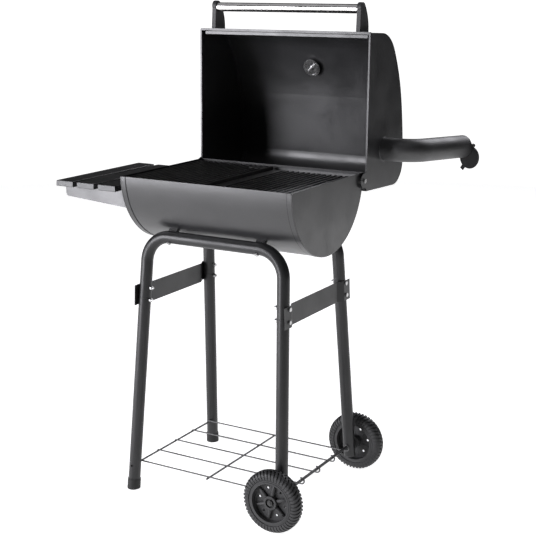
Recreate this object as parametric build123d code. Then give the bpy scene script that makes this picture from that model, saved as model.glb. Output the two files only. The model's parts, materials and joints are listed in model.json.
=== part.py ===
from build123d import *
import os

# Barrel charcoal grill, stored with its hood open. Millimetres.
# X runs to the grill's right (chimney and wheels), Y to the back, Z up.
os.makedirs("parts", exist_ok=True)

# The layout below is drawn about the middle of the firebox; this moves it to the middle of the whole base.
SHIFT_X = 14.4
SHIFT_Y = -138.9

SHEET = 1.2

# firebox: lower half of the barrel
BOX_HALF = 250.0
BOX_R = 190.0
BOX_AXIS_Z = 846.0
RIM_Z = 842.0
CAP_FLANGE = 15.0
RIM_HEM = 2.4

# grates
BAR_PITCH = 16.0
BAR_W = 6.0
BAR_H = 10.0
LEDGE_Z = 820.0
REST_GAP = 0.4
LEFT_RISE = 8.0

# hood, drawn closed and then swung open about the hinge
HINGE_Y = 180.0
HINGE_Z = 821.0
OPEN_ANGLE = 90.75
HOOD_HALF = 258.0
HOOD_FRONT = -195.0
HOOD_REAR = 208.7
HOOD_RIM_Z = 834.0
HEM_OUT = 3.4
HEM_IN = 2.2
LUG_R = 19.0
PIVOT_R = 4.0
RUN_FIT = 0.05

# handle
ARM_X = 212.5
ARM_W = 13.2
HANDLE_R = 12.2
HANDLE_OUT = 60.5
HANDLE_Z = 857.5
ARM_SCREW_Z = (864.0, 883.0)

# thermometer
THERMO_Y = -97.0
THERMO_TILT = 23.9
THERMO_Z = 1014.3

# chimney
PIPE_R = 31.0
PIPE_WALL = 1.5
PIPE_Y = 108.9
PIPE_Z = 937.7
PIPE_CORNER_X = 339.0
PIPE_BEND_R = 62.0
PIPE_TOP = 229.0
PIPE_SPLAY = 13.8
PIPE_LEAN = 1.6
CAP_SWING = 63.4
CAP_PIVOT = 35.0
CAP_PIVOT_ANGLE = -8.6
CAP_R = 31.5
CAP_TAB_TURN = 17.0

# stand
TUBE_R = 16.0
TUBE_WALL = 1.5
FOOT_X = 228.0
FOOT_Y = 195.0
TOP_X = 200.3
TOP_Y = 140.0
TOP_Z = 688.0
TOP_BEND = 70.0
JOINT_Z = 523.5
LEG_SPLAY = 2.31
RIGHT_END_Z = 54.0
BRACE_LOW = 503.0
BRACE_HIGH = 557.0
BRACE_BOLTS = (517.5, 549.5)
BRACE_INSET = 10.5
SADDLE_X = 130.0

# wheels and bottom shelf
WHEEL_R = 80.0
WHEEL_W = 38.0
WHEEL_Y = 230.5
AXLE_R = 4.0
AXLE_HALF = 249.5
WIRE_R = 2.0
ROD_R = 2.5
HOOK_R = 8.0
SHELF_Z = WHEEL_R + AXLE_R + WIRE_R + 0.05 - 2 * HOOK_R
ROD_Z = SHELF_Z - WIRE_R - ROD_R + 0.6
WIRE_Y = (-170.0, -85.0, 0.0, 85.0, 170.0)

# side shelf
SLAT_W = 54.5
SLAT_T = 15.5
SLAT_TOP = 813.5
SLAT_HALF = 182.0
SLAT_X = (-439.2, -370.2, -301.2)
BRACKET_Y = 131.0
BRACKET_END = -476.6


def save(name, shape):
    """Write one sub-part in the row frame."""
    export_step(Pos(SHIFT_X, SHIFT_Y, 0) * shape, f"parts/{name}.step")


def swing(shape):
    """Turn a hood piece from its closed pose to its open one."""
    axis = Axis((0, HINGE_Y, HINGE_Z), (1, 0, 0))
    return shape.rotate(axis, -OPEN_ANGLE)


def yz_slab(face, x0, x1):
    """Extrude a face drawn in (Y, Z) from X = x0 to X = x1."""
    return extrude(Plane.YZ.offset(x0) * face, x1 - x0)


def box_at(x0, x1, y0, y1, z0, z1):
    """Axis-aligned box between two corners."""
    centre = ((x0 + x1) / 2, (y0 + y1) / 2, (z0 + z1) / 2)
    return Pos(*centre) * Box(x1 - x0, y1 - y0, z1 - z0)


def rod(start, direction, radius, length):
    """Cylinder that starts at a point and runs along a direction."""
    return Plane(origin=start, z_dir=direction) * Cylinder(
        radius, length, align=(Align.CENTER, Align.CENTER, Align.MIN)
    )


def hexagon(start, direction, across_flats, length):
    """Hexagonal prism that starts at a point and runs along a direction."""
    face = RegularPolygon(across_flats / 2, 6, major_radius=False)
    return extrude(Plane(origin=start, z_dir=direction) * face, length)


def sweep_tube(path, outer, wall):
    """Round tube along a path."""
    plane = Plane(origin=path @ 0, z_dir=path % 0)
    solid = sweep(plane * Circle(outer), path)
    if wall:
        solid = solid - sweep(plane * Circle(outer - wall), path)
    return solid


# ---------------------------------------------------------------- firebox

def half_disc(radius):
    """Lower part of a disc about the barrel axis, cut level at the rim."""
    disc = Pos(0, BOX_AXIS_Z) * Circle(radius)
    low = BOX_AXIS_Z - radius - 1
    keep = Pos(0, (RIM_Z + low) / 2) * Rectangle(2 * radius + 2, RIM_Z - low)
    return disc & keep


def firebox_shell():
    outer = BOX_R - SHEET
    inner = outer - SHEET
    half = BOX_HALF - SHEET
    shell = yz_slab(half_disc(outer) - half_disc(inner), -half, half)
    # folded rims along the front and back
    for side in (-1, 1):
        y = side * (outer - SHEET - RIM_HEM / 2 + 0.1)
        hem = box_at(-half, half, y - RIM_HEM / 2, y + RIM_HEM / 2, RIM_Z - 7, RIM_Z)
        shell += hem
    for x in (-SADDLE_X, SADDLE_X):
        for side in (-1, 1):
            shell -= saddle_bore(x, side, 3.3)
    return shell


def saddle_direction(side):
    """Unit vector from a stand tube to the barrel axis."""
    vector = Vector(0, -side * TOP_Y, BOX_AXIS_Z - TOP_Z)
    return vector.normalized()


def saddle_bore(x, side, radius):
    start = Vector(x, side * TOP_Y, TOP_Z) - saddle_direction(side) * 25
    return rod(start, saddle_direction(side), radius, 70)


def firebox_end(side):
    """End panel with a flange that laps over the shell."""
    x_out = side * BOX_HALF
    x_in = side * (BOX_HALF - SHEET)
    x_lap = side * (BOX_HALF - CAP_FLANGE)
    panel = yz_slab(half_disc(BOX_R), min(x_out, x_in), max(x_out, x_in))
    ring = half_disc(BOX_R) - half_disc(BOX_R - SHEET)
    flange = yz_slab(ring, min(x_lap, x_in), max(x_lap, x_in))
    seam_ring = half_disc(BOX_R + 1) - half_disc(BOX_R - 0.7)
    seam_x = (side * (BOX_HALF - 3.4), side * (BOX_HALF - 2.2))
    end = panel + flange - yz_slab(seam_ring, min(seam_x), max(seam_x))
    corner = end.edges().filter_by(GeomType.CIRCLE)
    corner = [e for e in corner if abs(e.center().X - x_out) < 0.01 and e.radius > BOX_R - 0.1]
    end = fillet(corner, 1.1)
    end -= rod((x_in - side * 3, HINGE_Y, HINGE_Z), (side, 0, 0), PIVOT_R + 0.1, 8)
    if side < 0:
        for index in range(3):
            port = Pos(0, 24 * cosd(90 + 120 * index), 24 * sind(90 + 120 * index))
            hole = rod((x_in + 3, 0, DAMPER_Z), (-1, 0, 0), 9, 8)
            end -= port * hole
        end -= rod((x_in + 3, 0, DAMPER_Z), (-1, 0, 0), 2.6, 8)
        for y, z in bracket_bolt_points():
            end -= rod((x_in + 3, y, z), (-1, 0, 0), 2.6, 8)
    return end


DAMPER_Z = 745.0


def cosd(angle):
    """Cosine of an angle in degrees."""
    return Vector(1, 0, 0).rotate(Axis.Z, angle).X


def sind(angle):
    """Sine of an angle in degrees."""
    return Vector(1, 0, 0).rotate(Axis.Z, angle).Y


def bracket_bolt_points():
    points = []
    for side in (-1, 1):
        for z in (760, 786):
            points.append((side * (BRACKET_Y - 13), z))
    return points


def air_damper():
    """Round plate that turns over the three air holes."""
    x = -BOX_HALF - 0.5
    plate = rod((x, 0, DAMPER_Z), (-1, 0, 0), 40, 1.2)
    for index in range(3):
        angle = 90 + 120 * index
        port = Pos(0, 24 * cosd(angle), 24 * sind(angle))
        plate -= port * rod((x + 2, 0, DAMPER_Z), (-1, 0, 0), 9, 8)
    plate -= rod((x + 2, 0, DAMPER_Z), (-1, 0, 0), 2.55, 8)
    tab = box_at(x - 14, x - 0.2, -39, -37.8, DAMPER_Z - 8, DAMPER_Z + 8)
    return plate + tab


def damper_rivet():
    x = -BOX_HALF - 2.1
    head = rod((x, 0, DAMPER_Z), (-1, 0, 0), 6, 2)
    shank = rod((x, 0, DAMPER_Z), (1, 0, 0), 2.5, 5)
    tail = rod((-BOX_HALF + SHEET, 0, DAMPER_Z), (1, 0, 0), 5, 1.5)
    return head + shank + tail


def ledge(side):
    """Angle strip inside the barrel that the cooking grates sit on."""
    length = BOX_HALF - 10
    flat = box_at(-length, length, side * 172 if side > 0 else -186.2, 186.2 if side > 0 else -172,
                  LEDGE_Z - 1.5, LEDGE_Z)
    lip_y = side * 172.75
    lip = box_at(-length, length, lip_y - 0.75, lip_y + 0.75, LEDGE_Z - 10, LEDGE_Z - 1)
    strip = flat + lip
    return strip & yz_slab(half_disc(BOX_R - 2 * SHEET), -length, length)


def charcoal_support(side):
    """Bent strip across the barrel that holds the charcoal grate."""
    x = side * 205
    bar = box_at(x - 8, x + 8, -150, 150, 728, 729.5)
    return bar & yz_slab(half_disc(BOX_R - 2 * SHEET), x - 8, x + 8)


def charcoal_grate():
    z = 729.5 + REST_GAP + 2.5
    half_x = 222
    half_y = 138
    grid = None
    for y in (-half_y, -70, 0, 70, half_y):
        bar = rod((-half_x, y, z), (1, 0, 0), 2.5, 2 * half_x)
        grid = bar if grid is None else grid + bar
    count = 22
    for index in range(count + 1):
        x = -half_x + 2.5 + index * (2 * half_x - 5) / count
        grid += rod((x, -half_y, z + 4), (0, 1, 0), 2.5, 2 * half_y)
    return grid


def grate_bar(x, z_low, y_end):
    """One cast bar with a rounded top and rounded ends."""
    bar = box_at(x - BAR_W / 2, x + BAR_W / 2, -y_end, y_end, z_low, z_low + BAR_H)
    ends = bar.edges().filter_by(Axis.Z)
    bar = fillet(ends, BAR_W / 2 - 0.05)
    top = bar.faces().sort_by(Axis.Z)[-1]
    return chamfer(top.edges(), 1.2)


def cooking_grate(xs, z_low, frame_xs, foot):
    """Cast grate: bars front to back, tied by cross ribs and edge bars."""
    y_end = 178.5
    grate = None
    for x in xs:
        bar = grate_bar(x, z_low, y_end)
        grate = bar if grate is None else grate + bar
    x0 = min(list(xs) + [f[0] for f in frame_xs]) - 0.5
    x1 = max(list(xs) + [f[1] for f in frame_xs]) + 0.5
    for y in (-166, -83, 0, 83, 166):
        grate += box_at(x0, x1, y - 3.5, y + 3.5, z_low + 0.5, z_low + BAR_H - 2.5)
    for low, high in frame_xs:
        grate += box_at(low, high, -175, 175, z_low + 0.5, z_low + BAR_H - 0.6)
    if foot:
        for x in (x0 + 12, x1 - 12):
            for y in (-174, 174):
                grate += box_at(x - 7, x + 7, y - 4.5, y + 4.5, z_low - foot, z_low + 2)
    return grate


def grate_left():
    xs = [-241.5 + BAR_PITCH * i for i in range(15)]
    z_low = LEDGE_Z + REST_GAP + LEFT_RISE
    grate = cooking_grate(xs, z_low, [], LEFT_RISE)
    # lifting pad at the inner back corner
    grate += box_at(-66, -17, 132, 158, z_low + 0.5, z_low + BAR_H - 0.4)
    return grate


def grate_right():
    xs = [33.5 + BAR_PITCH * i for i in range(14)]
    z_low = LEDGE_Z + REST_GAP
    return cooking_grate(xs, z_low, [(-12.5, 19)], 0)


def saddle(x, side):
    """Shaped pad between a stand tube and the barrel."""
    direction = saddle_direction(side)
    start = Vector(x, side * TOP_Y, TOP_Z) + direction * (TUBE_R - 4)
    plane = Plane(origin=start, x_dir=(1, 0, 0), z_dir=direction)
    pad = plane * Box(24, 11, 16, align=(Align.CENTER, Align.CENTER, Align.MIN))
    pad -= rod((x - 40, side * TOP_Y, TOP_Z), (1, 0, 0), TUBE_R, 80)
    pad -= rod((x - 40, 0, BOX_AXIS_Z), (1, 0, 0), BOX_R - SHEET, 80)
    return pad - saddle_bore(x, side, 3.2)


def saddle_bolt(x, side):
    """Bolt from under a stand tube into the barrel, with its nut inside."""
    direction = saddle_direction(side)
    centre = Vector(x, side * TOP_Y, TOP_Z)
    base = centre - direction * TUBE_R
    bolt = rod(base - direction * 3.6, direction, 6, 3.5)
    bolt += rod(base - direction, direction, 3, 2 * TUBE_R + 15)
    inside = Vector(x, 0, BOX_AXIS_Z) - direction * (BOX_R - 2 * SHEET)
    bolt += hexagon(inside, direction, 10, 4.5)
    return bolt


# ---------------------------------------------------------------- hood

def hood_outline(low=HOOD_RIM_Z):
    """Closed hood section in (Y, Z)."""
    front = Line((HOOD_FRONT, low), (HOOD_FRONT, 905))
    shoulder = TangentArc((HOOD_FRONT, 905), (-150, 986), tangent=(0, 1))
    crown = TangentArc((-150, 986), (-13.4, 1041), tangent=shoulder % 1)
    top = TangentArc((-13.4, 1041), (150, 1061.5), tangent=crown % 1)
    corner = TangentArc((150, 1061.5), (213, 1000), tangent=top % 1)
    rear = Line((213, 1000), (HOOD_REAR, low))
    base = Line((HOOD_REAR, low), (HOOD_FRONT, low))
    return make_face([front, shoulder, crown, top, corner, rear, base])


def hood_shell():
    outer = hood_outline()
    inner = offset(hood_outline(HOOD_RIM_Z - 10), -SHEET)
    half = HOOD_HALF - SHEET
    shell = yz_slab(outer - inner, -half, half)
    # folded front rim, outside the firebox
    shell += box_at(-half, half, HOOD_FRONT - HEM_OUT, HOOD_FRONT + HEM_IN, HOOD_RIM_Z, HOOD_RIM_Z + 7)
    # folded back rim
    shell += box_at(-half, half, HOOD_REAR - 3.6, HOOD_REAR - 0.3, HOOD_RIM_Z, HOOD_RIM_Z + 7)
    for x in (-ARM_X - ARM_W / 2, ARM_X + ARM_W / 2):
        for z in ARM_SCREW_Z:
            shell -= rod((x, HOOD_FRONT - 3, z), (0, 1, 0), 2.6, 8)
    shell -= thermo_rod(-20, 6.2, 30)
    return shell


def hood_side(side):
    """D-shaped side panel with a hinge lug and an inner flange."""
    x_out = side * HOOD_HALF
    x_in = side * (HOOD_HALF - SHEET)
    lug = Pos(HINGE_Y, HINGE_Z) * Circle(LUG_R)
    cheek = make_face(Polyline(
        (HINGE_Y - LUG_R, HINGE_Z), (HINGE_Y - LUG_R - 6, HOOD_RIM_Z + 4),
        (HINGE_Y + LUG_R + 4, HOOD_RIM_Z + 4), (HINGE_Y + LUG_R, HINGE_Z), close=True))
    face = hood_outline() + lug + cheek
    panel = yz_slab(face, min(x_out, x_in), max(x_out, x_in))
    band = offset(hood_outline(), -SHEET) - offset(hood_outline(), -2 * SHEET)
    x_band = side * (HOOD_HALF - SHEET - 10)
    flange = yz_slab(band, min(x_in, x_band), max(x_in, x_band))
    flange -= box_at(-300, 300, HOOD_FRONT - 2, HOOD_REAR + 2, HOOD_RIM_Z - 1, HOOD_RIM_Z + 8)
    panel += flange
    x_hem = side * (HOOD_HALF - 4.4)
    panel += box_at(min(x_in, x_hem) - 0.01, max(x_in, x_hem) + 0.01, HOOD_FRONT + HEM_IN + 0.3,
                    HOOD_REAR - 3.9, HOOD_RIM_Z, HOOD_RIM_Z + 6)
    panel -= rod((x_in - side * 3, HINGE_Y, HINGE_Z), (side, 0, 0), PIVOT_R + RUN_FIT, 8)
    if side > 0:
        panel -= rod((x_in - 12, PIPE_Y, PIPE_Z), (1, 0, 0), PIPE_R + 0.1, 20)
    return panel


def hood_front_lip():
    """Folded strip behind the front rim; it closes just above the firebox rim."""
    y_out = HOOD_FRONT + HEM_IN + 2.4
    low = RIM_Z + 0.6
    face = box_at(-246, 246, y_out, y_out + 7.5, low, low + SHEET)
    wall = box_at(-246, 246, y_out, y_out + SHEET, low, low + 14.4)
    web = box_at(-246, 246, HOOD_FRONT + SHEET, y_out + SHEET, low + 13.2, low + 14.4)
    return face + wall + web


def handle_arm(side):
    """Moulded arm that carries one end of the handle tube."""
    wall = HOOD_FRONT
    low = Line((wall, 841), (wall - 58, 844.5))
    nose = ThreePointArc((wall - 58, 844.5), (wall - 77.5, 856.5), (wall - 73, 866.5))
    back = ThreePointArc((wall - 73, 866.5), (wall - 45, 883.5), (wall, 891))
    base = Line((wall, 891), (wall, 841))
    face = make_face([low, nose, back, base])
    x0 = side * ARM_X
    x1 = side * (ARM_X + ARM_W)
    arm = yz_slab(face, min(x0, x1), max(x0, x1))
    arm -= box_at(-300, 300, wall - HEM_OUT, wall + 1, HOOD_RIM_Z, HOOD_RIM_Z + 7)
    arm = fillet(arm.edges().filter_by(lambda e: e.length > 25 and abs(e.center().Y - wall) > 4), 1.6)
    socket = (x0 - side, wall - HANDLE_OUT, HANDLE_Z)
    arm -= rod(socket, (side, 0, 0), HANDLE_R + 0.02, 8)
    middle = side * (ARM_X + ARM_W / 2)
    for z in ARM_SCREW_Z:
        arm -= rod((middle, wall + 1, z), (0, -1, 0), 2.02, 22)
    return arm


def handle_tube():
    start = (-ARM_X - 6.5, HOOD_FRONT - HANDLE_OUT, HANDLE_Z)
    tube = rod(start, (1, 0, 0), HANDLE_R, 2 * ARM_X + 13)
    return tube - rod(start, (1, 0, 0), HANDLE_R - 1.0, 2 * ARM_X + 13)


def handle_screws():
    """Screws from inside the hood into the handle arms."""
    group = []
    for side in (-1, 1):
        x = side * (ARM_X + ARM_W / 2)
        for z in ARM_SCREW_Z:
            inside = HOOD_FRONT + SHEET
            screw = rod((x, inside, z), (0, 1, 0), 4.5, 2.4)
            screw += rod((x, inside + 0.5, z), (0, -1, 0), 2.0, 21)
            group.append(screw)
    return Compound(children=group)


def thermo_axis():
    return (0, -sind(THERMO_TILT), cosd(THERMO_TILT))


def thermo_point(height):
    """Point on the thermometer's axis, measured out from the hood's outer face."""
    return Vector(0, THERMO_Y, THERMO_Z) + Vector(*thermo_axis()) * height


def thermo_rod(height, radius, length):
    return rod(thermo_point(height), thermo_axis(), radius, length)


def thermo_case():
    """Round case outside the hood with a threaded stud through it."""
    case = thermo_rod(0.9, 30, 10)
    rim = case.edges().filter_by(GeomType.CIRCLE).sort_by(lambda e: (e.center() - thermo_point(0)).length)[0]
    case = fillet(rim, 2.5)
    case -= thermo_rod(4, 27, 10)
    case += thermo_rod(-14, 5.8, 15.5)
    case -= thermo_rod(-20, 3.02, 30)
    return case


def thermo_stem():
    return thermo_rod(-33, 3.0, 37.5)


def thermo_nut():
    """Dished round nut with a ribbed boss, inside the hood."""
    boss = thermo_rod(-11.5, 13, 9.7)
    for index in range(16):
        notch = thermo_rod(-12, 1.1, 12)
        offset_dir = Vector(13.2, 0, 0).rotate(Axis((0, 0, 0), thermo_axis()), index * 22.5)
        boss -= Pos(*offset_dir) * notch
    dish = thermo_rod(-13, 25, 2)
    dish -= thermo_rod(-14, 20, 1.8)
    dish += thermo_rod(-12.2, 21, 1.4)
    nut = boss + dish
    return nut - thermo_rod(-30, 5.85, 40)


def thermo_dial():
    return thermo_rod(5.0, 26.6, 0.8) - thermo_rod(0, 3.1, 20)


def thermo_needle():
    normal = thermo_axis()
    plane = Plane(origin=thermo_point(6.9), x_dir=(1, 0, 0), z_dir=normal)
    face = make_face(Polyline((-6, -1.4), (0, -1.8), (20, -0.3), (20, 0.3), (0, 1.8), (-6, 1.4), close=True))
    needle = plane * (Rot(0, 0, 200) * extrude(face, 0.6))
    return needle + thermo_rod(6.6, 3.0, 1.6)


def thermo_lens():
    return thermo_rod(9.2, 26.8, 1.2)


def thermo_bezel():
    ring = thermo_rod(10.9, 30.2, 1.6) - thermo_rod(10, 25.5, 4)
    return ring


def chimney_plane():
    """Plane at the corner of the elbow; its z runs up the second leg."""
    plane = Plane(origin=(PIPE_CORNER_X, PIPE_Y, PIPE_Z), x_dir=(1, 0, 0), z_dir=(0, 0, 1))
    return plane


def chimney_pose(shape):
    """Lean the elbow about its stub."""
    return shape.rotate(Axis((0, PIPE_Y, PIPE_Z), (1, 0, 0)), -PIPE_LEAN)


def chimney_top(distance):
    """Point on the second leg, measured from the corner."""
    return Vector(PIPE_CORNER_X + distance * sind(PIPE_SPLAY), PIPE_Y, PIPE_Z + distance * cosd(PIPE_SPLAY))


def chimney_dir():
    return Vector(sind(PIPE_SPLAY), 0, cosd(PIPE_SPLAY))


def chimney_pipe():
    start = (HOOD_HALF - 8, PIPE_Y, PIPE_Z)
    corner = (PIPE_CORNER_X, PIPE_Y, PIPE_Z)
    end = tuple(chimney_top(PIPE_TOP))
    path = FilletPolyline(start, corner, end, radius=PIPE_BEND_R)
    pipe = sweep_tube(path, PIPE_R, PIPE_WALL)
    # lug that carries the cap's pivot
    plane = cap_plane(-2.0)
    lug = Pos(PIPE_R + 1, 0, 0) * Box(8, 9, 2) + Pos(CAP_PIVOT, 0, 0) * Cylinder(5, 2)
    lug = plane * (Rot(0, 0, CAP_PIVOT_ANGLE) * lug)
    pipe += lug - rod(chimney_top(PIPE_TOP - 30), chimney_dir(), PIPE_R - 0.6, 60)
    pipe -= cap_rod(-10, 2.6, 20)
    return chimney_pose(pipe)


def cap_plane(height):
    """Plane across the pipe, measured out from its end."""
    return Plane(origin=chimney_top(PIPE_TOP + height), x_dir=(cosd(PIPE_SPLAY), 0, -sind(PIPE_SPLAY)),
                 z_dir=chimney_dir())


def cap_rod(height, radius, length):
    """Cylinder on the cap's pivot axis."""
    local = Pos(CAP_PIVOT * cosd(CAP_PIVOT_ANGLE), CAP_PIVOT * sind(CAP_PIVOT_ANGLE), 0)
    shape = Cylinder(radius, length, align=(Align.CENTER, Align.CENTER, Align.MIN))
    return cap_plane(height) * (local * shape)


def chimney_cap():
    """Disc that swings about a bolt on the pipe's rim."""
    disc = Pos(-CAP_PIVOT, 0, 0) * Cylinder(CAP_R, 1.2)
    disc += Cylinder(5.5, 1.2)
    tab = Pos(-CAP_R - 4, 0, 0) * Box(13, 12, 1.2)
    disc += Pos(-CAP_PIVOT, 0, 0) * (Rot(0, 0, CAP_TAB_TURN) * tab)
    disc -= Cylinder(2.5 + RUN_FIT, 6)
    local = Pos(CAP_PIVOT * cosd(CAP_PIVOT_ANGLE), CAP_PIVOT * sind(CAP_PIVOT_ANGLE), 0)
    cap = cap_plane(1.1) * (local * (Rot(0, 0, CAP_PIVOT_ANGLE - CAP_SWING) * disc))
    return chimney_pose(cap)


def cap_bolt():
    bolt = cap_rod(-6, 2.5, 9)
    bolt += cap_rod(2.2, 4.2, 2.2)
    bolt += cap_rod(-5.8, 4.2, 2.6)
    return chimney_pose(bolt)


def flange_bolt_points():
    points = []
    for angle in (45, 135, 225, 315):
        points.append((PIPE_Y + 40 * cosd(angle), PIPE_Z + 40 * sind(angle)))
    return points


def chimney_flange():
    """Ring plate inside the hood that holds the pipe to the side panel."""
    face = HOOD_HALF - SHEET
    ring = rod((face, PIPE_Y, PIPE_Z), (-1, 0, 0), 47, 1.6)
    ring += rod((face, PIPE_Y, PIPE_Z), (-1, 0, 0), PIPE_R + 1.6, 7)
    ring -= rod((face + 1, PIPE_Y, PIPE_Z), (-1, 0, 0), PIPE_R, 20)
    for y, z in flange_bolt_points():
        ring -= rod((face + 1, y, z), (-1, 0, 0), 2.1, 8)
    return ring


def chimney_studs():
    """Studs welded inside the side panel, each with its nut on the ring plate."""
    studs = []
    face = HOOD_HALF - SHEET
    for y, z in flange_bolt_points():
        stud = rod((face, y, z), (-1, 0, 0), 2, 7)
        stud += hexagon((face - 1.6, y, z), (-1, 0, 0), 7, 3)
        studs.append(stud)
    return Compound(children=studs)


# ---------------------------------------------------------------- hinge

def hinge_bolt(side):
    """Pivot bolt with its head outside and its nut in the firebox."""
    x = side * (HOOD_HALF + 0.4)
    bolt = rod((x, HINGE_Y, HINGE_Z), (side, 0, 0), 5.8, 3.8)
    bolt += rod((x + side, HINGE_Y, HINGE_Z), (-side, 0, 0), PIVOT_R, 14.2)
    nut = hexagon((side * (BOX_HALF - SHEET - 0.05), HINGE_Y, HINGE_Z), (-side, 0, 0), 11, 3)
    keep = yz_slab(half_disc(BOX_R - 2 * SHEET - 0.2), -BOX_HALF, BOX_HALF)
    return bolt + (nut & keep)


def hinge_spacer(side):
    start = (side * BOX_HALF, HINGE_Y, HINGE_Z)
    spacer = rod(start, (side, 0, 0), 8, HOOD_HALF - SHEET - 0.4 - BOX_HALF)
    return spacer - rod((side * (BOX_HALF - 1), HINGE_Y, HINGE_Z), (side, 0, 0), PIVOT_R, 12)


def hood_stop(x):
    """Bracket behind the firebox that the open hood leans on."""
    shelf = box_at(x - 18, x + 18, 176, 206, 788.2, 790.4)
    arm = box_at(x - 1.2, x + 1.2, 170, 204, 764, 788.7)
    stop = shelf + arm
    return stop - rod((x - 40, 0, BOX_AXIS_Z), (1, 0, 0), BOX_R - SHEET, 80)


# ---------------------------------------------------------------- stand

def leg_point(sx, sy, z):
    """Point on a leg's centre line at a height."""
    share = z / TOP_Z
    x = FOOT_X + (TOP_X - FOOT_X) * share
    y = FOOT_Y + (TOP_Y - FOOT_Y) * share
    return Vector(sx * x, sy * y, z)


def leg_dir(sx, sy):
    """Unit vector up a leg."""
    return (leg_point(sx, sy, TOP_Z) - leg_point(sx, sy, 0)).normalized()


def brace_bores(sx, sy, radius):
    bores = None
    for z in BRACE_BOLTS:
        p = leg_point(sx, sy, z)
        bore = rod((p.X - 30, p.Y, z), (1, 0, 0), radius, 60)
        bores = bore if bores is None else bores + bore
    return bores


def u_tube(sy):
    """Bent tube that forms the top of two legs and carries the barrel."""
    points = [leg_point(-1, sy, JOINT_Z), leg_point(-1, sy, TOP_Z), leg_point(1, sy, TOP_Z),
              leg_point(1, sy, JOINT_Z)]
    path = FilletPolyline(*[tuple(p) for p in points], radius=TOP_BEND)
    tube = sweep_tube(path, TUBE_R, TUBE_WALL)
    for x in (-SADDLE_X, SADDLE_X):
        tube -= saddle_bore(x, sy, 3.2)
    for sx in (-1, 1):
        tube -= brace_bores(sx, sy, 3.1)
    return tube


def leg(sx, sy):
    """Lower leg with a swaged end that slides into the bent tube."""
    low = RIGHT_END_Z if sx > 0 else 6.0
    start = leg_point(sx, sy, low)
    direction = leg_dir(sx, sy)
    length = (leg_point(sx, sy, JOINT_Z) - start).length
    spigot = TUBE_R - TUBE_WALL - 0.05
    tube = rod(start, direction, TUBE_R, length - 0.8) + rod(start, direction, spigot, length + 50)
    tube -= rod(start - direction, direction, spigot - TUBE_WALL, length + 60)
    tube -= brace_bores(sx, sy, 3.1)
    if sx > 0:
        tube -= axle_rod(AXLE_R + 0.1)
    else:
        p = leg_point(sx, sy, ROD_Z)
        tube -= rod((p.X, p.Y - 30, p.Z), (0, 1, 0), ROD_R + 0.5, 60)
    return tube


def foot_cap(sy):
    """Rubber cap on a left foot, flat on the ground."""
    start = leg_point(-1, sy, 0)
    direction = leg_dir(-1, sy)
    cap = rod(start - direction * 6, direction, TUBE_R + 1.6, 33)
    cap -= rod(leg_point(-1, sy, 6), direction, TUBE_R, 60)
    return cap & box_at(-400, 400, -400, 400, 0, 100)


def leg_plug(sy):
    """End plug under a wheeled leg."""
    start = leg_point(1, sy, RIGHT_END_Z)
    direction = leg_dir(1, sy)
    return rod(start - direction * 3, direction, TUBE_R, 3) + rod(start, direction, 12.8, 6)


def brace(side):
    """Plate with a flat pad on each leg and its middle set in between the legs."""
    middle = (BRACE_LOW + BRACE_HIGH) / 2
    leg_y = leg_point(1, 1, middle).Y
    outer = side * (leg_point(1, 1, middle).X + TUBE_R + 0.85)
    inset = -side * BRACE_INSET
    points = [(0, -leg_y - 23), (0, -leg_y + 10), (inset, -leg_y + 32),
              (inset, leg_y - 32), (0, leg_y - 10), (0, leg_y + 23)]
    line = FilletPolyline(*points, radius=4)
    plate = extrude(Pos(outer, 0, BRACE_LOW) * trace(line, 1.5), BRACE_HIGH - BRACE_LOW)
    for sy in (-1, 1):
        for z in BRACE_BOLTS:
            y = leg_point(1, sy, z).Y
            plate -= rod((outer - 10, y, z), (1, 0, 0), 3.3, 30)
    # the plate leans with the legs
    splay = -side * LEG_SPLAY
    return plate.rotate(Axis((outer, 0, middle), (0, 1, 0)), splay)


def brace_bolts(side):
    """Bolts through one side's legs, heads outside."""
    bolts = []
    for sy in (-1, 1):
        for z in BRACE_BOLTS:
            head = side * (leg_point(1, 1, z).X + TUBE_R + 1.95)
            y = leg_point(1, sy, z).Y
            tip = abs(head) - leg_point(1, 1, z).X + TUBE_R + 9
            bolt = rod((head, y, z), (side, 0, 0), 5.2, 3.4)
            bolt += rod((head, y, z), (-side, 0, 0), 3, tip)
            inside = side * (leg_point(1, 1, z).X - TUBE_R - 0.1)
            bolt += hexagon((inside, y, z), (-side, 0, 0), 10, 5)
            bolts.append(bolt)
    return bolts


# ---------------------------------------------------------------- wheels and bottom shelf

def axle_rod(radius):
    x = leg_point(1, 1, WHEEL_R).X
    return rod((x, -AXLE_HALF, WHEEL_R), (0, 1, 0), radius, 2 * AXLE_HALF)


def axle_ring(sy, y0, y1, radius):
    """Ring on the axle between two Y values on one side."""
    x = leg_point(1, 1, WHEEL_R).X
    ring = rod((x, sy * y0, WHEEL_R), (0, sy, 0), radius, y1 - y0)
    return ring - rod((x, sy * (y0 - 1), WHEEL_R), (0, sy, 0), AXLE_R, y1 - y0 + 2)


def axle_rings(sy):
    """Spacer between leg and wheel, and washer under the axle nut."""
    return [axle_ring(sy, 205.6, 211.8, 7.5), axle_ring(sy, 241.0, 241.9, 8.5)]


def axle_nut(sy):
    x = leg_point(1, 1, WHEEL_R).X
    nut = hexagon((x, sy * 241.9, WHEEL_R), (0, sy, 0), 13, 6.2)
    return nut - rod((x, sy * 240, WHEEL_R), (0, sy, 0), AXLE_R, 30)


def wheel_ring(y0, y1, outer, inner=0.0):
    """Ring about the wheel's axis; y is measured outwards from the wheel's middle."""
    face = Circle(outer) - Circle(inner) if inner else Circle(outer)
    return extrude(Plane.XY.offset(y0) * face, y1 - y0)


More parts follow.
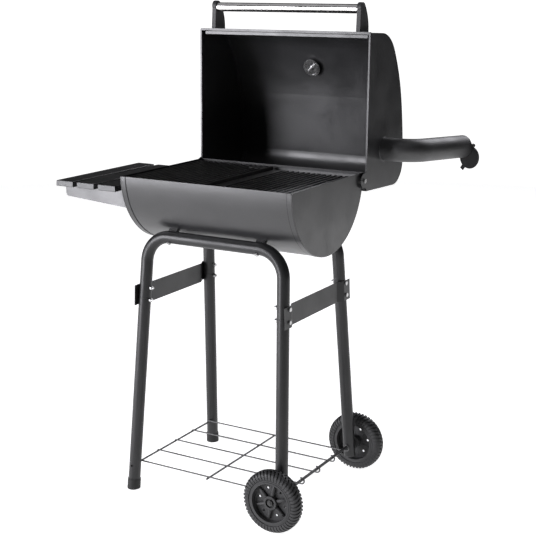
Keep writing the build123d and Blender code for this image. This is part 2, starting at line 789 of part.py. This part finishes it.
def wheel_tyre():
    """Round-shouldered tread with two rows of slanted lugs and a middle rib."""
    half = WHEEL_W / 2
    body = wheel_ring(-half + 1.5, half - 1.5, WHEEL_R - 3)
    body = fillet(body.edges().filter_by(GeomType.CIRCLE), 12.5)
    count = 48
    lugs = [wheel_ring(-1.4, 1.4, WHEEL_R)]
    for index in range(count):
        for row in (-1, 1):
            lug = Pos(WHEEL_R - 9, 0, row * 10.6) * (Rot(row * 24, 0, 0) * Box(22, 5.2, 21))
            lugs.append(Rot(0, 0, (index + (0.5 if row > 0 else 0)) * 360 / count) * lug)
    tyre = body.fuse(*lugs)
    crown = wheel_ring(-half, half, WHEEL_R)
    crown = fillet(crown.edges().filter_by(GeomType.CIRCLE), 14)
    tyre = tyre & crown
    tyre -= wheel_ring(-half - 1, half + 1, 54)
    for y in (-half, half - 2.6):
        tyre -= wheel_ring(y, y + 2.6, 60, 58.2)
    return tyre


def wheel_rim():
    """Moulded wheel body: rim wall, web, round spokes and hub."""
    half = WHEEL_W / 2
    rim = wheel_ring(-half + 0.6, half - 0.6, 54, 50)
    rim += wheel_ring(1, 4, 50.5)
    rim += wheel_ring(-half + 0.8, 16.5, 17.5)
    for index in range(6):
        turn = Rot(0, 0, 20 + index * 60)
        spoke = Pos(12, 0, 4.5) * (Rot(0, 90, 0) * Cylinder(4.2, 31, align=(Align.CENTER, Align.CENTER, Align.MIN)))
        tip = Pos(43, 0, 4.5) * Sphere(4.2)
        hole = Pos(36, 0, 0) * Cylinder(3.2, 30)
        rim += turn * (spoke + tip)
        rim -= Rot(0, 0, 50 + index * 60) * hole
    rim -= wheel_ring(10.2, 30, 12.5)
    return rim - wheel_ring(-40, 40, AXLE_R + RUN_FIT)


def wheels():
    """Rear wheel, and the same wheel turned round for the front."""
    axle_x = leg_point(1, 1, WHEEL_R).X
    place = Plane(origin=(axle_x, WHEEL_Y, WHEEL_R), x_dir=(1, 0, 0), z_dir=(0, 1, 0))
    rear = place * (wheel_tyre() + wheel_rim())
    front = rear.rotate(Axis((axle_x, 0, 0), (0, 0, 1)), 180)
    return front, rear


def shelf_wires():
    """Welded wire shelf; its right ends hook round the axle."""
    z = SHELF_Z
    axle_x = leg_point(1, 1, WHEEL_R).X
    left_x = -leg_point(1, 1, ROD_Z).X
    shelf = None
    for y in WIRE_Y:
        start = (left_x, y, z)
        bend = (axle_x, y, z)
        side = (axle_x + HOOK_R, y, z + HOOK_R)
        tip = (axle_x, y, z + 2 * HOOK_R)
        tail = (axle_x - 3, y, z + 2 * HOOK_R)
        path = Wire([Line(start, bend).edge(), ThreePointArc(bend, side, tip).edge(), Line(tip, tail).edge()])
        plane = Plane(origin=start, z_dir=(1, 0, 0))
        wire = sweep(plane * Circle(WIRE_R), path, transition=Transition.RIGHT)
        shelf = wire if shelf is None else shelf + wire
    shelf += rod((-5, -178, ROD_Z), (0, 1, 0), ROD_R, 356)
    reach = FOOT_Y + 6
    shelf += rod((left_x, -reach, ROD_Z), (0, 1, 0), ROD_R, 2 * reach)
    return shelf


# ---------------------------------------------------------------- side shelf

def slat(x):
    board = box_at(x - SLAT_W / 2, x + SLAT_W / 2, -SLAT_HALF, SLAT_HALF, SLAT_TOP - SLAT_T, SLAT_TOP)
    board = fillet(board.edges().filter_by(Axis.Y) + board.edges().filter_by(Axis.X), 1.8)
    for sy in (-1, 1):
        board -= rod((x, sy * (BRACKET_Y - 7), SLAT_TOP + 1), (0, 0, -1), 2.4, 30)
        board -= rod((x, sy * (BRACKET_Y - 7), SLAT_TOP + 1), (0, 0, -1), 4.8, 3)
    return board


def shelf_bracket(sy):
    """Tapered steel bracket with a top flange and a flange on the firebox."""
    y = sy * BRACKET_Y
    top = SLAT_TOP - SLAT_T
    outline = Polyline((BRACKET_END, top), (BRACKET_END, 763.8), (-BOX_HALF, 747), (-BOX_HALF, top), close=True)
    face = make_face(outline)
    face = fillet(face.vertices().sort_by(lambda v: abs(v.X - BRACKET_END) + abs(v.Y - 763.8))[0], 10)
    web = extrude(Plane.XZ.offset(-y) * face, 0.75, both=True)
    flange_y = (y - sy * 15, y)
    flange = box_at(BRACKET_END + 6, -BOX_HALF - 2, min(flange_y), max(flange_y), top - 1.5, top)
    foot_y = (y - sy * 22, y)
    foot = box_at(-BOX_HALF - 1.5, -BOX_HALF, min(foot_y), max(foot_y), 749, top)
    bracket = web + flange + foot
    for x in SLAT_X:
        bracket -= rod((x, sy * (BRACKET_Y - 7), top + 2), (0, 0, -1), 2.4, 6)
    for by, bz in bracket_bolt_points():
        bracket -= rod((-BOX_HALF + 2, by, bz), (-1, 0, 0), 2.6, 6)
    return bracket


def slat_screws():
    screws = []
    for x in SLAT_X:
        for sy in (-1, 1):
            y = sy * (BRACKET_Y - 7)
            screw = rod((x, y, SLAT_TOP - 1.9), (0, 0, 1), 4.4, 1.6)
            screw += rod((x, y, SLAT_TOP - 1), (0, 0, -1), 2.1, SLAT_T + 5)
            screw += hexagon((x, y, SLAT_TOP - SLAT_T - 1.5), (0, 0, -1), 7, 3)
            screws.append(screw)
    return Compound(children=screws)


def bracket_bolts():
    bolts = []
    for y, z in bracket_bolt_points():
        bolt = rod((-BOX_HALF - 1.5, y, z), (-1, 0, 0), 4.8, 3)
        bolt += rod((-BOX_HALF - 2, y, z), (1, 0, 0), 2.5, 12)
        bolt += hexagon((-BOX_HALF + SHEET, y, z), (1, 0, 0), 8, 4)
        bolts.append(bolt)
    return Compound(children=bolts)


# ---------------------------------------------------------------- write the sub-parts

save("firebox_shell", firebox_shell())
save("firebox_end_left", firebox_end(-1))
save("firebox_end_right", firebox_end(1))
save("grate_ledges", Compound(children=[ledge(-1), ledge(1)]))
save("charcoal_supports", Compound(children=[charcoal_support(-1), charcoal_support(1)]))
save("charcoal_grate", charcoal_grate())
save("cooking_grate_left", grate_left())
save("cooking_grate_right", grate_right())
save("air_damper", air_damper())
save("damper_rivet", damper_rivet())
save("barrel_saddles", Compound(children=[saddle(x, s) for x in (-SADDLE_X, SADDLE_X) for s in (-1, 1)]))
save("saddle_bolts", Compound(children=[saddle_bolt(x, s) for x in (-SADDLE_X, SADDLE_X) for s in (-1, 1)]))
save("hood_stops", Compound(children=[hood_stop(-150), hood_stop(150)]))
save("hinge_bolts", Compound(children=[hinge_bolt(-1), hinge_bolt(1)]))
save("hinge_spacers", Compound(children=[hinge_spacer(-1), hinge_spacer(1)]))

save("hood_shell", swing(hood_shell()))
save("hood_side_left", swing(hood_side(-1)))
save("hood_side_right", swing(hood_side(1)))
save("hood_front_lip", swing(hood_front_lip()))
save("handle_arm_left", swing(handle_arm(-1)))
save("handle_arm_right", swing(handle_arm(1)))
save("handle_tube", swing(handle_tube()))
save("handle_screws", swing(handle_screws()))
save("thermometer_case", swing(thermo_case()))
save("thermometer_stem", swing(thermo_stem()))
save("thermometer_nut", swing(thermo_nut()))
save("thermometer_dial", swing(thermo_dial()))
save("thermometer_needle", swing(thermo_needle()))
save("thermometer_lens", swing(thermo_lens()))
save("thermometer_bezel", swing(thermo_bezel()))
save("chimney_flange", swing(chimney_flange()))
save("chimney_studs", swing(chimney_studs()))
save("chimney_pipe", swing(chimney_pipe()))
save("chimney_cap", swing(chimney_cap()))
save("chimney_cap_bolt", swing(cap_bolt()))

save("u_tube_front", u_tube(-1))
save("u_tube_rear", u_tube(1))
save("leg_front_left", leg(-1, -1))
save("leg_rear_left", leg(-1, 1))
save("leg_front_right", leg(1, -1))
save("leg_rear_right", leg(1, 1))
save("foot_caps", Compound(children=[foot_cap(-1), foot_cap(1)]))
save("leg_plugs", Compound(children=[leg_plug(-1), leg_plug(1)]))
save("brace_left", brace(-1))
save("brace_right", brace(1))
save("brace_bolts", Compound(children=brace_bolts(-1) + brace_bolts(1)))

save("axle", axle_rod(AXLE_R))
save("axle_washers", Compound(children=axle_rings(-1) + axle_rings(1)))
save("axle_nuts", Compound(children=[axle_nut(-1), axle_nut(1)]))
wheel_front, wheel_rear = wheels()
save("wheel_front", wheel_front)
save("wheel_rear", wheel_rear)
save("bottom_shelf", shelf_wires())

save("shelf_bracket_front", shelf_bracket(-1))
save("shelf_bracket_rear", shelf_bracket(1))
for name, x in zip(("outer", "middle", "inner"), SLAT_X):
    save(f"slat_{name}", slat(x))
save("slat_screws", slat_screws())
save("bracket_bolts", bracket_bolts())
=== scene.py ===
import json
import math

import bmesh
import bpy
from mathutils import Matrix, Vector


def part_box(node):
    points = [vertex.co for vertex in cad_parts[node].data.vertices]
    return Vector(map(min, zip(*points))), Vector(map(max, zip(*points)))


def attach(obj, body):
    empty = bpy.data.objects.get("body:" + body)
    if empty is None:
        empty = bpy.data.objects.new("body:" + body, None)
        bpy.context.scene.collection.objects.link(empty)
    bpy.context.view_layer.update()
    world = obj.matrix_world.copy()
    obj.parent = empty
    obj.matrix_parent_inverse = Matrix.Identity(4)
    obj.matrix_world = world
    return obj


# Barrel charcoal grill with its hood open. Metres, in the CAD frame: X right, Y back, Z up.
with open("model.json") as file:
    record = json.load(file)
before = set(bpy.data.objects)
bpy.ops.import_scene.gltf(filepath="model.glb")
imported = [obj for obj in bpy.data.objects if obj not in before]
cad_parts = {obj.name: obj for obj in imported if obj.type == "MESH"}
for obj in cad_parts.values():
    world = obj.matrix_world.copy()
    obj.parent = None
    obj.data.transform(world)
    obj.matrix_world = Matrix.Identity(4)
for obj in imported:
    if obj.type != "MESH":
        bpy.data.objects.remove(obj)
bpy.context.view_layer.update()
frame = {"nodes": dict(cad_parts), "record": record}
nodes = frame["nodes"]


# ---------------------------------------------------------------- material helpers

def new_material(name):
    """Material with its node tree and its Principled shader."""
    material = bpy.data.materials.new(name)
    material.use_nodes = True
    tree = material.node_tree
    return material, tree, tree.nodes["Principled BSDF"]


def add(tree, kind, **values):
    """New node with its attributes set."""
    node = tree.nodes.new(kind)
    for key, value in values.items():
        setattr(node, key, value)
    return node


def place(tree, stretch=(1, 1, 1)):
    """Object coordinates, stretched for a grain."""
    where = add(tree, "ShaderNodeTexCoord")
    mapping = add(tree, "ShaderNodeMapping")
    mapping.inputs["Scale"].default_value = stretch
    tree.links.new(where.outputs["Object"], mapping.inputs["Vector"])
    return mapping.outputs["Vector"]


def noise(tree, vector, scale, detail=3.0, roughness=0.5):
    """Noise value between about 0.3 and 0.7."""
    node = add(tree, "ShaderNodeTexNoise")
    node.inputs["Scale"].default_value = scale
    node.inputs["Detail"].default_value = detail
    node.inputs["Roughness"].default_value = roughness
    tree.links.new(vector, node.inputs["Vector"])
    return node.outputs["Fac"]


def spread(tree, value, low, high, start=0.35, end=0.65):
    """Map a noise value on to a range."""
    node = add(tree, "ShaderNodeMapRange")
    node.inputs["From Min"].default_value = start
    node.inputs["From Max"].default_value = end
    node.inputs["To Min"].default_value = low
    node.inputs["To Max"].default_value = high
    tree.links.new(value, node.inputs["Value"])
    return node.outputs["Result"]


def mix(tree, factor, first, second):
    """Blend two colours, each a tuple or a socket, by a value."""
    node = add(tree, "ShaderNodeMix", data_type="RGBA")
    tree.links.new(factor, node.inputs["Factor"])
    for socket, colour in ((node.inputs["A"], first), (node.inputs["B"], second)):
        pick = [s for s in node.inputs if s.name == socket.name and s.type == "RGBA"][0]
        if isinstance(colour, tuple):
            pick.default_value = (*colour, 1)
        else:
            tree.links.new(colour, pick)
    return [s for s in node.outputs if s.type == "RGBA"][0]


def bumps(tree, shader, layers):
    """Stack bump layers: (height value, distance in metres)."""
    below = None
    for height, distance in layers:
        node = add(tree, "ShaderNodeBump")
        node.inputs["Strength"].default_value = 1.0
        node.inputs["Distance"].default_value = distance
        tree.links.new(height, node.inputs["Height"])
        if below is not None:
            tree.links.new(below, node.inputs["Normal"])
        below = node.outputs["Normal"]
    tree.links.new(below, shader.inputs["Normal"])


# ---------------------------------------------------------------- materials

PEEL_DEPTH = 0.00002  # orange peel of sprayed paint, metres


def paint(name, dark, light, rough, shine=0.5):
    """Sprayed satin paint: slight mottle, orange peel and a dusty film."""
    material, tree, shader = new_material(name)
    vector = place(tree)
    cloud = noise(tree, vector, 5.0, 4.0)
    speck = noise(tree, vector, 420.0, 2.0)
    body = mix(tree, spread(tree, cloud, 0.0, 1.0), dark, light)
    dusty = tuple(min(1.0, c * 1.5 + 0.006) for c in light)
    colour = mix(tree, spread(tree, speck, 0.0, 0.5, 0.6, 0.72), body, dusty)
    tree.links.new(colour, shader.inputs["Base Color"])
    film = noise(tree, vector, 16.0, 5.0)
    tree.links.new(spread(tree, film, rough - 0.05, rough + 0.05), shader.inputs["Roughness"])
    peel = noise(tree, vector, 650.0, 1.5)
    wave = noise(tree, vector, 60.0, 1.0)
    bumps(tree, shader, [(wave, PEEL_DEPTH * 4), (peel, PEEL_DEPTH)])
    shader.inputs["Specular IOR Level"].default_value = shine
    return material


def cast_iron(name):
    """Sand-cast iron under a matte coat."""
    material, tree, shader = new_material(name)
    vector = place(tree)
    grain = noise(tree, vector, 700.0, 4.0, 0.6)
    patch = noise(tree, vector, 30.0, 4.0)
    shade = spread(tree, patch, 0.0, 1.0)
    colour = mix(tree, shade, (0.024, 0.024, 0.025), (0.05, 0.049, 0.048))
    tree.links.new(colour, shader.inputs["Base Color"])
    tree.links.new(spread(tree, grain, 0.34, 0.52), shader.inputs["Roughness"])
    shader.inputs["Specular IOR Level"].default_value = 0.9
    bumps(tree, shader, [(patch, 0.0002), (grain, 0.00012)])
    return material


def steel(name, colour, rough, stretch, scratch=0.00001):
    """Bare or plated metal with a drawn grain."""
    material, tree, shader = new_material(name)
    vector = place(tree, stretch)
    grain = noise(tree, vector, 900.0, 3.0, 0.6)
    cloud = noise(tree, place(tree), 45.0, 3.0)
    dull = tuple(c * 0.82 for c in colour)
    tint = mix(tree, spread(tree, cloud, 0.0, 1.0), dull, colour)
    tree.links.new(tint, shader.inputs["Base Color"])
    shader.inputs["Metallic"].default_value = 1.0
    tree.links.new(spread(tree, grain, rough * 0.75, rough * 1.3), shader.inputs["Roughness"])
    bumps(tree, shader, [(grain, scratch)])
    return material


def plastic(name, dark, light, rough, grain_scale=900.0, depth=0.00005, shine=0.3):
    """Moulded plastic with a fine spark-eroded grain."""
    material, tree, shader = new_material(name)
    vector = place(tree)
    grain = noise(tree, vector, grain_scale, 3.0, 0.6)
    cloud = noise(tree, vector, 14.0, 3.0)
    tint = mix(tree, spread(tree, cloud, 0.0, 1.0), dark, light)
    tree.links.new(tint, shader.inputs["Base Color"])
    tree.links.new(spread(tree, cloud, rough - 0.05, rough + 0.06), shader.inputs["Roughness"])
    bumps(tree, shader, [(grain, depth)])
    shader.inputs["Specular IOR Level"].default_value = shine
    return material


def enamel(name, dark, light, rough):
    """Printed or enamelled surface with faint unevenness."""
    return plastic(name, dark, light, rough, 400.0, 0.00001)


def clear_glass(name):
    """Thin clear pane with faint smears."""
    material, tree, shader = new_material(name)
    smear = noise(tree, place(tree), 60.0, 4.0)
    tree.links.new(spread(tree, smear, 0.02, 0.08), shader.inputs["Roughness"])
    shader.inputs["Base Color"].default_value = (0.96, 0.98, 0.98, 1)
    shader.inputs["Transmission Weight"].default_value = 1.0
    shader.inputs["IOR"].default_value = 1.45
    return material


BLACK = (0.014, 0.014, 0.015)
SOOT = (0.024, 0.024, 0.0255)
looks = {
    "satin_black_paint": paint("satin_black_paint", BLACK, SOOT, 0.34, shine=0.75),
    "inner_black_paint": paint("inner_black_paint", BLACK, SOOT, 0.5),
    "black_tube_paint": paint(
        "black_tube_paint", (0.012, 0.012, 0.0125), (0.02, 0.02, 0.021), 0.34, shine=0.38),
    "grey_paint": paint(
        "grey_paint", (0.024, 0.024, 0.025), (0.036, 0.036, 0.038), 0.36, shine=0.82),
    "cast_iron_black": cast_iron("cast_iron_black"),
    "steel_wire": paint(
        "steel_wire", (0.045, 0.045, 0.045), (0.07, 0.07, 0.072), 0.38, shine=0.7),
    "stainless": steel("stainless", (0.78, 0.77, 0.76), 0.16, (0.02, 1, 1)),
    "zinc": steel("zinc", (0.56, 0.56, 0.56), 0.26, (1, 1, 1), 0.00003),
    "black_fastener": paint("black_fastener", (0.02, 0.02, 0.02), (0.05, 0.05, 0.05), 0.35),
    "black_plastic": plastic(
        "black_plastic", (0.036, 0.036, 0.037), (0.05, 0.05, 0.051), 0.5),
    "shelf_black": plastic(
        "shelf_black", (0.013, 0.013, 0.0135), (0.022, 0.022, 0.023), 0.42, shine=0.7),
    "rubber_black": plastic("rubber_black", (0.014, 0.014, 0.014), (0.022, 0.022, 0.022), 0.6),
    "dial_white": enamel("dial_white", (0.78, 0.77, 0.73), (0.85, 0.84, 0.8), 0.5),
    "needle_red": enamel("needle_red", (0.5, 0.03, 0.02), (0.6, 0.05, 0.03), 0.4),
    "lens": clear_glass("lens"),
    "chrome": steel("chrome", (0.86, 0.86, 0.87), 0.08, (1, 1, 1), 0.000005),
}


def dress(obj, material):
    """Give a whole object one material."""
    obj.data.materials.clear()
    obj.data.materials.append(material)


# The chimney is rougher and shinier than the hood, but stays in the hood's paint slot.
PIPE_PAINT = paint("satin_black_paint_pipe", BLACK, SOOT, 0.52, shine=1.0)

for part in frame["record"]["subparts"]:
    dress(nodes[part["node"]], looks[part["material_slot"]])
dress(nodes["chimney_pipe"], PIPE_PAINT)


# ---------------------------------------------------------------- small pieces

MM = 0.001
OPEN_ANGLE = math.radians(90.75)  # the hood is stored open by this much
DIAL_TILT = math.radians(23.9)  # the dial's lean when the hood is closed

# Millimetres from here on.
WELD_RADIUS, WELD_THICK, WELD_RIPPLES = 31.2, 1.3, 60

NUGGET_RADIUS = 3.1
NUGGET_SQUASH = (1.15, 1.15, 0.55, 1)
NUGGET_LIFT = 4.7  # above the shelf's lowest point
SHELF_RODS_X = (2.5, 222.8)  # from the shelf's left side
SHELF_WIRES_Y = (-170, -85, 0, 85, 170)  # from the shelf's middle

TICKS, COARSE_EVERY = 41, 5
TICK_START, TICK_STEP = -135, 6.75  # degrees
TICK_REACH, TICK_LIFT, TICK_THICK = 23.6, 0.45, 0.12
COARSE_TICK, FINE_TICK = (3.6, 0.7), (2.0, 0.35)  # length, width

# Dark strips painted as the shadow lines at the seams of an end panel: distance in from its
# outer face, width, height over the flange.
SEAM_SHADOW_LINES = ((15.9, 1.6, -0.6), (2.8, 1.2, 0.1))
SEAM_DEPTH, SEAM_STEPS = 1.2, 96
SEAM_START, SEAM_SWEEP = 181.5, 177  # degrees, round the lower half of the barrel

# Along a spoke: distance from the axle, distance out of the wheel's middle, half thickness.
SPOKE_STATIONS = (
    (13, 8.2, 5.2), (22, 8.2, 5.0), (31, 7.8, 4.8),
    (39, 6.8, 4.5), (44, 5.4, 3.8), (47, 4.4, 2.2),
)
SPOKES, SPOKE_START, SPOKE_SECTION = 6, 20, 16


def piece(name, shape, body, slot, smooth=True):
    """Finish a bmesh as an object that rides on a body."""
    mesh = bpy.data.meshes.new(name)
    bmesh.ops.recalc_face_normals(shape, faces=shape.faces)
    shape.to_mesh(mesh)
    shape.free()
    for face in mesh.polygons:
        face.use_smooth = smooth
    obj = bpy.data.objects.new(name, mesh)
    bpy.context.scene.collection.objects.link(obj)
    dress(obj, looks[slot])
    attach(obj, body)


def middle(node):
    """Middle of a node's box at rest."""
    low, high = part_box(node)
    return (Vector(low) + Vector(high)) / 2


def bead(shape, centre, axis_turn, radius, thick, ripples):
    """Rippled weld bead round a pipe."""
    around, section = 144, 8
    rings = []
    for i in range(around):
        angle = 2 * math.pi * i / around
        size = thick * (1 + 0.16 * math.sin(ripples * angle))
        ring = []
        for j in range(section):
            turn = 2 * math.pi * j / section
            reach = radius + size * math.cos(turn)
            x, y = reach * math.cos(angle), reach * math.sin(angle)
            local = Vector((x, y, size * math.sin(turn)))
            ring.append(shape.verts.new(centre + axis_turn @ local))
        rings.append(ring)
    for i in range(around):
        for j in range(section):
            a, b = rings[i], rings[(i + 1) % around]
            k = (j + 1) % section
            shape.faces.new((a[j], b[j], b[k], a[k]))


def chimney_weld():
    """Bead where the chimney leaves the hood's side."""
    shape = bmesh.new()
    centre = middle("chimney_flange")
    centre.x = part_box("hood_side_right")[1][0]
    sideways = Matrix.Rotation(math.pi / 2, 3, "Y")
    bead(shape, centre, sideways, WELD_RADIUS * MM, WELD_THICK * MM, WELD_RIPPLES)
    piece("chimney_weld_bead", shape, "hood", "satin_black_paint")


def shelf_welds():
    """Small nuggets where the shelf's wires cross its two rods."""
    shape = bmesh.new()
    low = Vector(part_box("bottom_shelf")[0])
    centre_y = middle("bottom_shelf").y
    for x in SHELF_RODS_X:
        for y in SHELF_WIRES_Y:
            crossing = (low.x + x * MM, centre_y + y * MM, low.z + NUGGET_LIFT * MM)
            spot = Matrix.Translation(crossing) @ Matrix.Diagonal(NUGGET_SQUASH)
            bmesh.ops.create_icosphere(
                shape, subdivisions=2, radius=NUGGET_RADIUS * MM, matrix=spot)
    piece("shelf_weld_nuggets", shape, "stand", "steel_wire")


def dial_marks():
    """Scale of fine and coarse ticks on the thermometer's dial."""
    shape = bmesh.new()
    tilt = Matrix.Rotation(DIAL_TILT - OPEN_ANGLE, 4, "X")
    face = Matrix.Translation(middle("thermometer_dial")) @ tilt
    for index in range(TICKS):
        length, width = COARSE_TICK if index % COARSE_EVERY == 0 else FINE_TICK
        length *= MM
        width *= MM
        turn = Matrix.Rotation(math.radians(TICK_START + index * TICK_STEP), 4, "Z")
        shift = Matrix.Translation((0, TICK_REACH * MM - length / 2, TICK_LIFT * MM))
        size = Matrix.Diagonal((width, length, TICK_THICK * MM, 1))
        bmesh.ops.create_cube(shape, size=1.0, matrix=face @ turn @ shift @ size)
    piece("dial_scale_ticks", shape, "hood", "black_fastener", smooth=False)


def painted_seam_shadows():
    """Dark strips painted as the shadow gaps in the joints round both ends of the barrel."""
    shape = bmesh.new()
    for node, side in (("firebox_end_left", -1), ("firebox_end_right", 1)):
        low, high = (Vector(corner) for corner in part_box(node))
        radius = (high.y - low.y) / 2
        axis = Vector((0, (high.y + low.y) / 2, low.z + radius))
        outer_x = high.x if side > 0 else low.x
        for inset, width, reach in SEAM_SHADOW_LINES:
            seam_x = outer_x - side * inset * MM
            rows = []
            for step in range(SEAM_STEPS + 1):
                angle = math.radians(SEAM_START + SEAM_SWEEP * step / SEAM_STEPS)
                row = []
                for x, lift in ((-1, -SEAM_DEPTH), (-1, 0), (1, 0), (1, -SEAM_DEPTH)):
                    r = radius + (reach + lift) * MM
                    y, z = axis.y + r * math.cos(angle), axis.z + r * math.sin(angle)
                    row.append(shape.verts.new((seam_x + x * width / 2 * MM, y, z)))
                rows.append(row)
            for a, b in zip(rows, rows[1:]):
                for k in range(4):
                    shape.faces.new((a[k], b[k], b[(k + 1) % 4], a[(k + 1) % 4]))
            shape.faces.new(rows[0])
            shape.faces.new(rows[-1][::-1])
    # Painted shadow: black matte strips where the seam gaps only hold shade.
    piece("barrel_end_seam_painted_shadows", shape, "stand", "rubber_black", smooth=False)


def wheel_spokes(node, out):
    """Rounded spokes that stand out of a wheel's web; out is the outward sign along Y."""
    shape = bmesh.new()
    centre = middle(node)
    outward = Vector((0, out, 0))
    for index in range(SPOKES):
        angle = math.radians(SPOKE_START + 360 // SPOKES * index)
        along = Vector((out * math.cos(angle), 0, -math.sin(angle)))
        across = outward.cross(along)
        rings = []
        for reach, height, thick in SPOKE_STATIONS:
            ring = []
            for k in range(SPOKE_SECTION):
                turn = 2 * math.pi * k / SPOKE_SECTION
                out_of_web = outward * (height + thick * math.cos(turn))
                lift = out_of_web + across * (thick * math.sin(turn))
                ring.append(shape.verts.new(centre + (along * reach + lift) * MM))
            rings.append(ring)
        for a, b in zip(rings, rings[1:]):
            for k in range(SPOKE_SECTION):
                following = (k + 1) % SPOKE_SECTION
                shape.faces.new((a[k], a[following], b[following], b[k]))
        shape.faces.new(rings[0])
        shape.faces.new(rings[-1])
    piece(node + "_spokes", shape, node, "black_plastic")


chimney_weld()
shelf_welds()
painted_seam_shadows()
wheel_spokes("wheel_front", -1)
wheel_spokes("wheel_rear", 1)
dial_marks()


# ---------------------------------------------------------------- stage

FLOOR_RADIUS = 5.0
FLOOR_GLOW = 0.85
SURROUND_RADIUS = 30.0
SURROUND_GLOW = 1.1
LIGHT_COLOUR = (0.955, 0.95, 1.0)
WORLD_STRENGTH = 0.05
LENS, SENSOR_WIDTH, CLIP_END = 79.29, 36.0, 100.0
EYE = (1.5839, -2.7001, 1.3207)
YAW, PITCH, ROLL = 30.273, 13.592, 0.123  # degrees


def white_material(name, glow):
    """Matte studio white with a faint cloud and a little light of its own."""
    material, tree, shader = new_material(name)
    cloud = noise(tree, place(tree), 0.8, 2.0)
    tint = mix(tree, spread(tree, cloud, 0, 1), (0.86, 0.86, 0.86), (0.9, 0.9, 0.9))
    tree.links.new(tint, shader.inputs["Base Color"])
    shader.inputs["Roughness"].default_value = 0.8
    shader.inputs["Specular IOR Level"].default_value = 0.1
    shader.inputs["Emission Color"].default_value = (1, 1, 1, 1)
    shader.inputs["Emission Strength"].default_value = glow
    return material


def stage_mesh(name, shape, material):
    """Finish a piece of the stage from its mesh."""
    mesh = bpy.data.meshes.new(name)
    shape.to_mesh(mesh)
    shape.free()
    obj = bpy.data.objects.new(name, mesh)
    bpy.context.scene.collection.objects.link(obj)
    dress(obj, material)
    return obj


def floor_disc():
    """Pale floor round the grill."""
    shape = bmesh.new()
    bmesh.ops.create_circle(shape, cap_ends=True, radius=FLOOR_RADIUS, segments=96)
    stage_mesh("studio_floor", shape, white_material("studio_white", FLOOR_GLOW))


def surround():
    """Plain white room behind everything; only the camera sees it."""
    shape = bmesh.new()
    bmesh.ops.create_uvsphere(shape, u_segments=48, v_segments=24, radius=SURROUND_RADIUS)
    white = white_material("studio_surround_white", SURROUND_GLOW)
    room = stage_mesh("studio_surround", shape, white)
    room.visible_diffuse = False
    room.visible_glossy = False
    room.visible_transmission = False
    room.visible_shadow = False


def softbox(name, centre, target, width, height, power):
    """Rectangular area light aimed at a point."""
    light = bpy.data.lights.new(name, "AREA")
    light.shape = "RECTANGLE"
    light.size = width
    light.size_y = height
    light.energy = power
    light.color = LIGHT_COLOUR
    obj = bpy.data.objects.new(name, light)
    obj.location = centre
    obj.rotation_mode = "QUATERNION"
    obj.rotation_quaternion = (Vector(target) - Vector(centre)).to_track_quat("-Z", "Y")
    bpy.context.scene.collection.objects.link(obj)


def world_fill():
    """Weak white light from all round."""
    world = bpy.data.worlds.new("studio_fill")
    bpy.context.scene.world = world
    world.use_nodes = True
    background = world.node_tree.nodes["Background"]
    background.inputs["Color"].default_value = (1, 1, 1, 1)
    background.inputs["Strength"].default_value = WORLD_STRENGTH


def camera():
    """Camera at the catalogue angle: a little to the right and a little above."""
    data = bpy.data.cameras.new("camera")
    data.lens = LENS
    data.sensor_width = SENSOR_WIDTH
    data.clip_end = CLIP_END
    obj = bpy.data.objects.new("camera", data)
    yaw, pitch, roll = math.radians(YAW), math.radians(PITCH), math.radians(ROLL)
    obj.location = EYE
    turn = Matrix.Rotation(yaw, 4, "Z") @ Matrix.Rotation(math.pi / 2 - pitch, 4, "X")
    obj.rotation_mode = "QUATERNION"
    obj.rotation_quaternion = (turn @ Matrix.Rotation(roll, 4, "Z")).to_quaternion()
    bpy.context.scene.collection.objects.link(obj)
    bpy.context.scene.camera = obj


floor_disc()
surround()
# Name, place, target, width, height, watts.
softbox("key_front_left", (-2.45, -3.2, 1.2), (0.0, 0.0, 0.9), 2.2, 2.4, 190)
softbox("fill_back", (0.7, 3.2, 3.1), (0.0, 0.0, 0.8), 1.8, 1.2, 60)
softbox("top", (0.0, -0.5, 3.6), (0.0, 0.0, 0.7), 4.0, 3.0, 14)
world_fill()
camera()
bpy.context.scene.view_settings.view_transform = "Standard"
